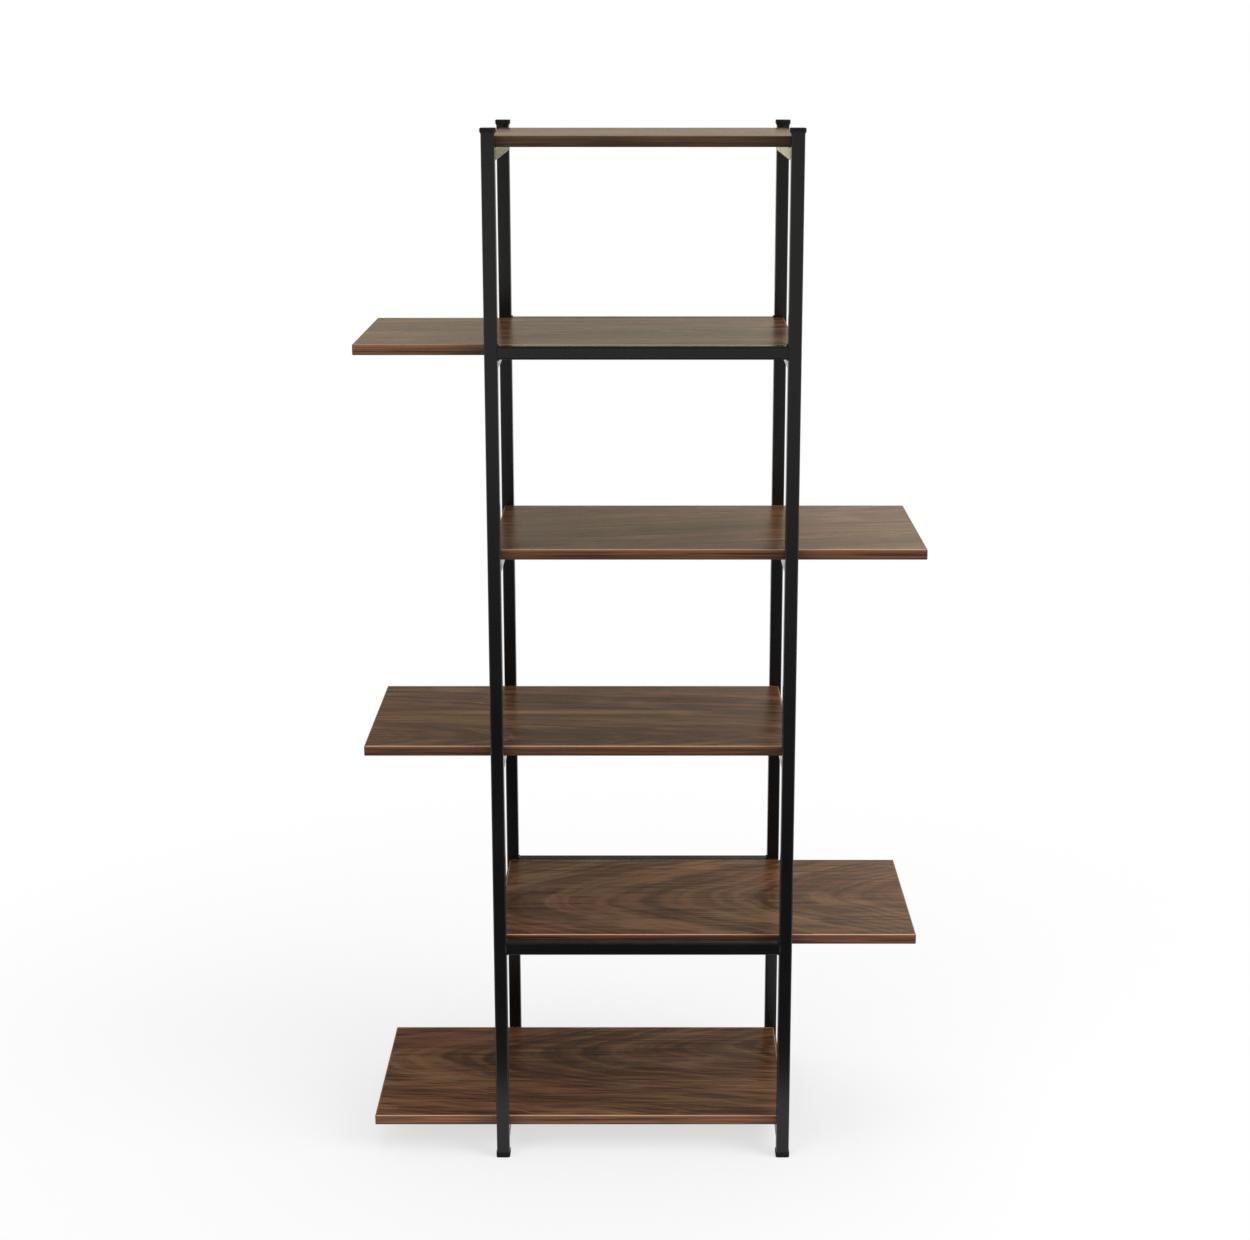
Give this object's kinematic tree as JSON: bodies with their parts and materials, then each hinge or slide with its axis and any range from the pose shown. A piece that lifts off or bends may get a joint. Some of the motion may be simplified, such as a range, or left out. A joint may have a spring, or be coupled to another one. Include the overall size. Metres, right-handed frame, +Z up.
{
  "type": "zigzag bookshelf",
  "caption": "Tall open bookshelf of black square steel tube with long walnut boards that run out past the frame to the left and right in turn.",
  "frame": {"origin": "on the floor under the middle of the frame", "axes": "+Z up, +X to the right seen from the front, the front faces -Y"},
  "size_m": [0.858, 0.3732, 1.616],
  "materials": {
    "black_frame": "satin powder coat",
    "black_plastic": "moulded, matt",
    "walnut_board": "satin walnut laminate on chipboard",
    "walnut_edge": "satin walnut edge band",
    "zinc_steel": "zinc plated"
  },
  "bodies": {
    "root": {"front_left_foot": "black_plastic", "front_left_upright": "black_frame", "front_left_top_cap": "black_plastic", "rear_left_foot": "black_plastic", "rear_left_upright": "black_frame", "rear_left_top_cap": "black_plastic", "front_right_foot": "black_plastic", "front_right_upright": "black_frame", "front_right_top_cap": "black_plastic", "rear_right_foot": "black_plastic", "rear_right_upright": "black_frame", "rear_right_top_cap": "black_plastic", "shelf_1_left_rail": "black_frame", "shelf_1_right_rail": "black_frame", "shelf_1_board": "walnut_board", "shelf_1_edge_band": "walnut_edge", "shelf_2_left_rail": "black_frame", "shelf_2_right_rail": "black_frame", "shelf_2_board": "walnut_board", "shelf_2_edge_band": "walnut_edge", "shelf_3_left_rail": "black_frame", "shelf_3_right_rail": "black_frame", "shelf_3_board": "walnut_board", "shelf_3_edge_band": "walnut_edge", "shelf_4_left_rail": "black_frame", "shelf_4_right_rail": "black_frame", "shelf_4_board": "walnut_board", "shelf_4_edge_band": "walnut_edge", "shelf_5_left_rail": "black_frame", "shelf_5_right_rail": "black_frame", "shelf_5_board": "walnut_board", "shelf_5_edge_band": "walnut_edge", "shelf_6_left_rail": "black_frame", "shelf_6_right_rail": "black_frame", "shelf_6_board": "walnut_board", "shelf_6_edge_band": "walnut_edge", "upper_front_crossbar": "black_frame", "upper_rear_crossbar": "black_frame", "lower_front_crossbar": "black_frame", "lower_rear_crossbar": "black_frame", "frame_welds": "black_frame", "board_screws": "zinc_steel"}
  },
  "joints": []
}
